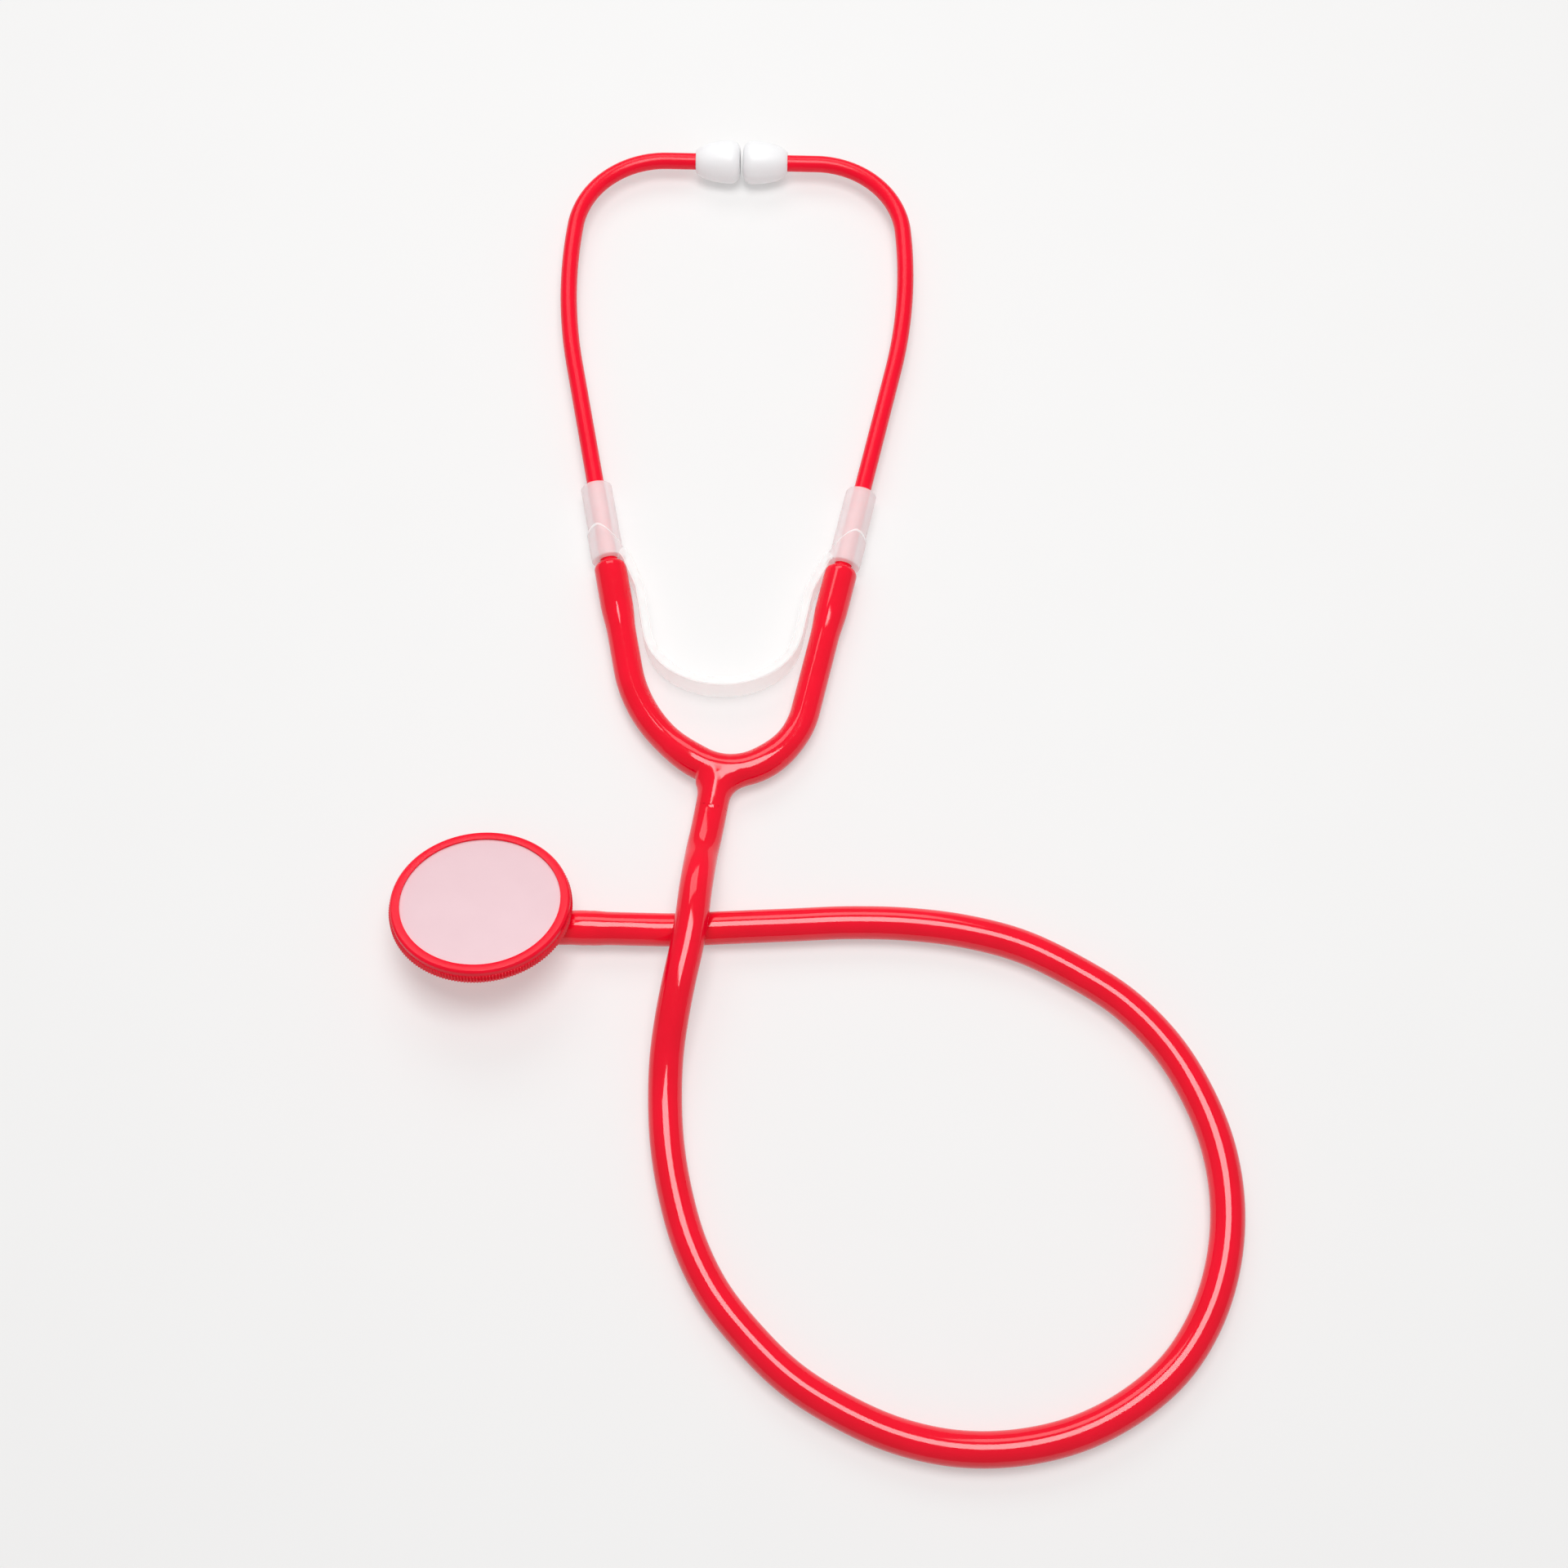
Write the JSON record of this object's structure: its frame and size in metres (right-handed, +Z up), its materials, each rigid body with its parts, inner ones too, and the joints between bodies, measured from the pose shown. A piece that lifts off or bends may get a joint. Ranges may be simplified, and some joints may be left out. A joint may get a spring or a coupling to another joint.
{
  "type": "toy stethoscope",
  "caption": "Toy stethoscope with a looped soft hose, a forked headset with a springy band and ear tips, and a round chestpiece whose ribbed ring holds a thin diaphragm.",
  "frame": {"origin": "on the table, under the middle of everything but the free hose", "axes": "+Z up from the table; +Y from the fork to the ear tips; +X to the right, away from the chestpiece"},
  "size_m": [0.2083, 0.3629, 0.0213],
  "materials": {
    "red_vinyl": "glossy soft vinyl",
    "red_plastic": "glossy hard plastic",
    "deep_red_plastic": "glossy hard plastic",
    "milky_plastic": "milky, see-through, satin",
    "white_tip": "soft satin",
    "pink_film": "thin, see-through, satin"
  },
  "bodies": {
    "moulding": {"fork": "red_vinyl", "hose": "red_vinyl", "hose_end": "red_vinyl", "tension_band": "milky_plastic"},
    "left_side": {"left_arm": "red_vinyl", "left_sleeve": "milky_plastic"},
    "right_side": {"right_arm": "red_vinyl", "right_sleeve": "milky_plastic"},
    "left_ear": {"left_ear_tube": "red_plastic", "left_ear_tip": "white_tip"},
    "right_ear": {"right_ear_tube": "red_plastic", "right_ear_tip": "white_tip"},
    "chestpiece": {"chest_body": "deep_red_plastic", "stem": "deep_red_plastic"},
    "film": {"diaphragm": "pink_film"},
    "ring": {"diaphragm_ring": "red_plastic"}
  },
  "joints": [
    {"name": "left_spread", "type": "hinge", "parent": "moulding", "child": "left_side", "pos_m": [0.01061, -0.06372, 0.00451], "axis": [0, 0, 1], "range_deg": [0, 20], "stiffness_Nm_per_rad": 0.3, "deforming": ["tension_band"]},
    {"name": "right_spread", "type": "hinge", "parent": "moulding", "child": "right_side", "pos_m": [0.02522, -0.06372, 0.00451], "axis": [0, 0, -1], "range_deg": [0, 20], "stiffness_Nm_per_rad": 0.3},
    {"name": "left_ear_twist", "type": "hinge", "parent": "left_side", "child": "left_ear", "pos_m": [-0.01588, -0.00724, 0.00497], "axis": [-0.2079, 0.9781, 0.0078], "range_deg": [-40, 40]},
    {"name": "right_ear_twist", "type": "hinge", "parent": "right_side", "child": "right_ear", "pos_m": [0.04572, -0.00724, 0.00497], "axis": [0.2079, 0.9781, 0.0078], "range_deg": [-40, 40]},
    {"name": "chest_turn", "type": "hinge", "parent": "moulding", "child": "chestpiece", "pos_m": [-0.04168, -0.10864, 0.00451], "axis": [1, 0, 0], "range_deg": [-90, 90]},
    {"name": "ring_lift", "type": "slide", "parent": "chestpiece", "child": "film", "axis": [0, 0.3338, 0.9426], "range_m": [0, 0.002]},
    {"name": "ring_turn", "type": "hinge", "parent": "film", "child": "ring", "pos_m": [-0.04168, -0.10864, 0.00451], "axis": [0, 0.3338, 0.9426], "range_deg": [0, 360]}
  ],
  "couplings": [
    {"joint": "right_spread", "follows": "left_spread", "ratio": 1},
    {"joint": "ring_lift", "follows": "ring_turn", "m_per_rad": 0.000318}
  ]
}
